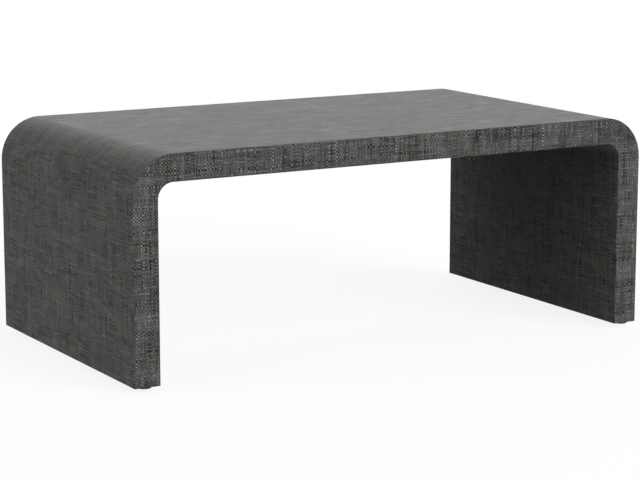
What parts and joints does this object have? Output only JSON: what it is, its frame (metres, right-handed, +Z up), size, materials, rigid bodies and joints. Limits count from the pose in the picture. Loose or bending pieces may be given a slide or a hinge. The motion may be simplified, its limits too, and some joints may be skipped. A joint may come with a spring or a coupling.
{
  "type": "coffee table",
  "caption": "Low waterfall coffee table: slab legs and top in one rounded band, wrapped in dark woven raffia, on small screw-in levelling feet.",
  "frame": {"origin": "on the floor below the middle of the table", "axes": "+X along the table's length, -Y towards the front, +Z up"},
  "size_m": [1.219, 0.66, 0.4595],
  "materials": {
    "raffia_cloth": "charcoal plain-weave raffia under clear semi-gloss lacquer",
    "fibreboard": "raw fibreboard",
    "bent_plywood": "bent plywood, sanded",
    "former_plywood": "birch plywood, sawn",
    "frame_timber": "planed poplar, unfinished",
    "dowel_beech": "beech",
    "insert_steel": "zinc plated",
    "stud_steel": "zinc plated",
    "foot_nylon": "moulded nylon, fine matte"
  },
  "bodies": {
    "table": {"back_edge_wrap": "raffia_cloth", "corner_dowels": "dowel_beech", "foot_inserts": "insert_steel", "front_edge_wrap": "raffia_cloth", "inner_wrap": "raffia_cloth", "left_base_wrap": "raffia_cloth", "left_corner_former_1": "former_plywood", "left_corner_former_2": "former_plywood", "left_corner_former_3": "former_plywood", "left_corner_former_4": "former_plywood", "left_corner_former_5": "former_plywood", "left_corner_inner_shell": "bent_plywood", "left_corner_outer_shell": "bent_plywood", "left_leg_back_stile": "frame_timber", "left_leg_base_rail": "frame_timber", "left_leg_front_stile": "frame_timber", "left_leg_head_rail": "frame_timber", "left_leg_inner_skin": "fibreboard", "left_leg_outer_skin": "fibreboard", "left_leg_rib_1": "frame_timber", "left_leg_rib_2": "frame_timber", "outer_wrap": "raffia_cloth", "right_base_wrap": "raffia_cloth", "right_corner_former_1": "former_plywood", "right_corner_former_2": "former_plywood", "right_corner_former_3": "former_plywood", "right_corner_former_4": "former_plywood", "right_corner_former_5": "former_plywood", "right_corner_inner_shell": "bent_plywood", "right_corner_outer_shell": "bent_plywood", "right_leg_back_stile": "frame_timber", "right_leg_base_rail": "frame_timber", "right_leg_front_stile": "frame_timber", "right_leg_head_rail": "frame_timber", "right_leg_inner_skin": "fibreboard", "right_leg_outer_skin": "fibreboard", "right_leg_rib_1": "frame_timber", "right_leg_rib_2": "frame_timber", "top_back_rail": "frame_timber", "top_front_rail": "frame_timber", "top_inner_skin": "fibreboard", "top_left_end_rail": "frame_timber", "top_outer_skin": "fibreboard", "top_rib_1": "frame_timber", "top_rib_2": "frame_timber", "top_rib_3": "frame_timber", "top_rib_4": "frame_timber", "top_rib_5": "frame_timber", "top_right_end_rail": "frame_timber"},
    "front_left_foot": {"front_left_foot_pad": "foot_nylon", "front_left_foot_stud": "stud_steel"},
    "front_right_foot": {"front_right_foot_pad": "foot_nylon", "front_right_foot_stud": "stud_steel"},
    "back_left_foot": {"back_left_foot_pad": "foot_nylon", "back_left_foot_stud": "stud_steel"},
    "back_right_foot": {"back_right_foot_pad": "foot_nylon", "back_right_foot_stud": "stud_steel"}
  },
  "joints": [
    {"name": "front_left_foot_screw", "type": "slide", "parent": "table", "child": "front_left_foot", "axis": [0, 0, -1], "range_m": [0, 0.01]},
    {"name": "front_right_foot_screw", "type": "slide", "parent": "table", "child": "front_right_foot", "axis": [0, 0, -1], "range_m": [0, 0.01]},
    {"name": "back_left_foot_screw", "type": "slide", "parent": "table", "child": "back_left_foot", "axis": [0, 0, -1], "range_m": [0, 0.01]},
    {"name": "back_right_foot_screw", "type": "slide", "parent": "table", "child": "back_right_foot", "axis": [0, 0, -1], "range_m": [0, 0.01]}
  ]
}
